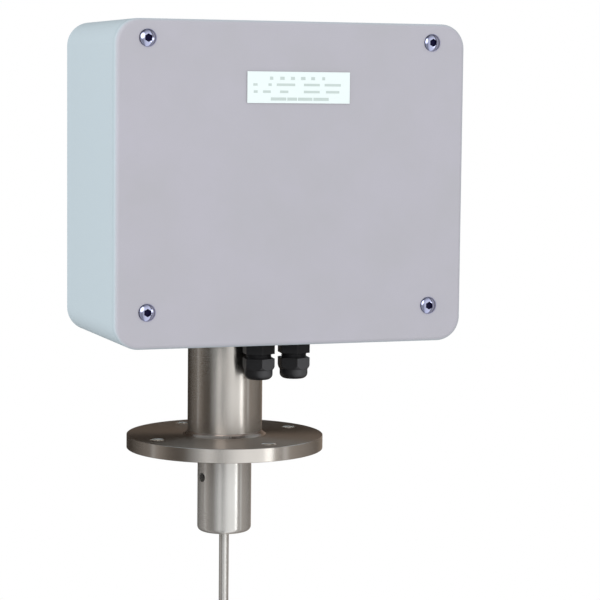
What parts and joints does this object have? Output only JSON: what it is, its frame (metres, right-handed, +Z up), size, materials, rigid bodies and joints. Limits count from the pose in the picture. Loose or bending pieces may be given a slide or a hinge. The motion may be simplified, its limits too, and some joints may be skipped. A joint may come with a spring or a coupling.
{
  "type": "plumb bob level sensor",
  "caption": "Electromechanical level sensor: painted box with a screwed cover on a flanged neck, which lowers a plumb weight on a wire rope from a motor-driven drum.",
  "frame": {"origin": "centre of the mounting flange's lower face, on the axis of the neck and guide tube", "axes": "+Z up along the neck, -Y out of the front cover, +X to the right seen from the front"},
  "size_m": [0.36, 0.2, 0.732],
  "materials": {
    "cover_powder_coat": "satin powder coat, grey with a lavender cast",
    "box_powder_coat": "satin powder coat, pale grey-blue",
    "stainless_steel": "turned and polished",
    "weld_bead": "fillet weld, brushed",
    "anodised_plate": "pale printed plate",
    "screw_chrome": "bright plated",
    "black_nylon": "moulded, satin",
    "black_rubber": "moulded",
    "white_nylon": "turned",
    "zinc_steel": "zinc plated sheet",
    "machined_steel": "machined",
    "machined_aluminium": "turned",
    "bearing_bronze": "sintered",
    "motor_black": "black paint",
    "sensor_brass": "nickel plated",
    "switch_black": "moulded",
    "circuit_green": "solder mask",
    "terminal_grey": "moulded",
    "wire_steel": "stranded wire rope"
  },
  "bodies": {
    "housing": {"housing_box": "box_powder_coat", "front_cover": "cover_powder_coat", "cover_gasket": "black_rubber", "cover_screws": "screw_chrome", "name_plate": "anodised_plate", "neck_tube": "stainless_steel", "neck_gasket": "black_rubber", "neck_locknut": "stainless_steel", "neck_weld": "weld_bead", "mounting_flange": "stainless_steel", "guide_tube": "stainless_steel", "guide_bush": "white_nylon", "gland_body_left": "black_nylon", "gland_nut_left": "black_nylon", "gland_seal_left": "black_rubber", "gland_locknut_left": "black_nylon", "gland_body_right": "black_nylon", "gland_nut_right": "black_nylon", "gland_seal_right": "black_rubber", "gland_locknut_right": "black_nylon", "frame_plate_front": "zinc_steel", "frame_plate_rear": "zinc_steel", "frame_pillars": "machined_steel", "frame_standoffs": "machined_steel", "frame_nuts": "zinc_steel", "drum_bush_front": "bearing_bronze", "drum_bush_rear": "bearing_bronze", "motor_gearhead": "machined_aluminium", "motor_body": "motor_black", "motor_screws": "screw_chrome", "motor_capacitor": "machined_aluminium", "capacitor_clip": "zinc_steel", "switch_body": "switch_black", "limit_sensor": "sensor_brass", "limit_sensor_nuts": "sensor_brass", "hall_sensor": "switch_black", "control_board": "circuit_green", "board_standoffs": "white_nylon", "terminal_rail": "zinc_steel", "terminal_block": "terminal_grey", "arm_spring": "wire_steel", "spring_stud": "machined_steel", "arm_pivot_pin": "machined_steel"},
    "drum": {"drum_shaft": "machined_steel", "rope_drum": "machined_aluminium", "drum_gear": "machined_steel", "rope_winding": "wire_steel", "magnet_disc": "white_nylon", "shaft_collar": "machined_steel"},
    "pinion": {"motor_shaft": "machined_steel", "drive_pinion": "machined_steel"},
    "slack_arm": {"slack_arm": "zinc_steel", "roller_axle": "machined_steel"},
    "roller": {"slack_roller": "white_nylon"},
    "plunger": {"switch_plunger": "white_nylon"},
    "weight": {"hanger_rod": "stainless_steel", "rope_terminal": "stainless_steel", "plumb_bob": "stainless_steel", "bob_locknut": "stainless_steel", "wire_rope": "wire_steel"}
  },
  "joints": [
    {"name": "weight_lower", "type": "slide", "parent": "housing", "child": "weight", "axis": [0, 0, -1], "range_m": [0, 3], "deforming": ["wire_rope"]},
    {"name": "drum_spin", "type": "hinge", "parent": "housing", "child": "drum", "pos_m": [0.045, 0, 0.262], "axis": [0, -1, 0], "continuous": true},
    {"name": "pinion_spin", "type": "hinge", "parent": "housing", "child": "pinion", "pos_m": [0.135, 0, 0.262], "axis": [0, 1, 0], "continuous": true},
    {"name": "slack_tilt", "type": "hinge", "parent": "housing", "child": "slack_arm", "pos_m": [-0.03, 0, 0.24], "axis": [0, -1, 0], "range_deg": [0, 8], "stiffness_Nm_per_rad": 0.05},
    {"name": "roller_spin", "type": "hinge", "parent": "slack_arm", "child": "roller", "pos_m": [-0.0096, 0, 0.19], "axis": [0, 1, 0], "continuous": true},
    {"name": "switch_press", "type": "slide", "parent": "housing", "child": "plunger", "axis": [0, 0, -1], "range_m": [0, 0.002]}
  ],
  "couplings": [
    {"joint": "drum_spin", "follows": "weight_lower", "rad_per_m": 22.222},
    {"joint": "pinion_spin", "follows": "weight_lower", "rad_per_m": 61.111},
    {"joint": "roller_spin", "follows": "weight_lower", "rad_per_m": 125},
    {"joint": "switch_press", "follows": "slack_tilt", "m_per_rad": 0.0143}
  ]
}
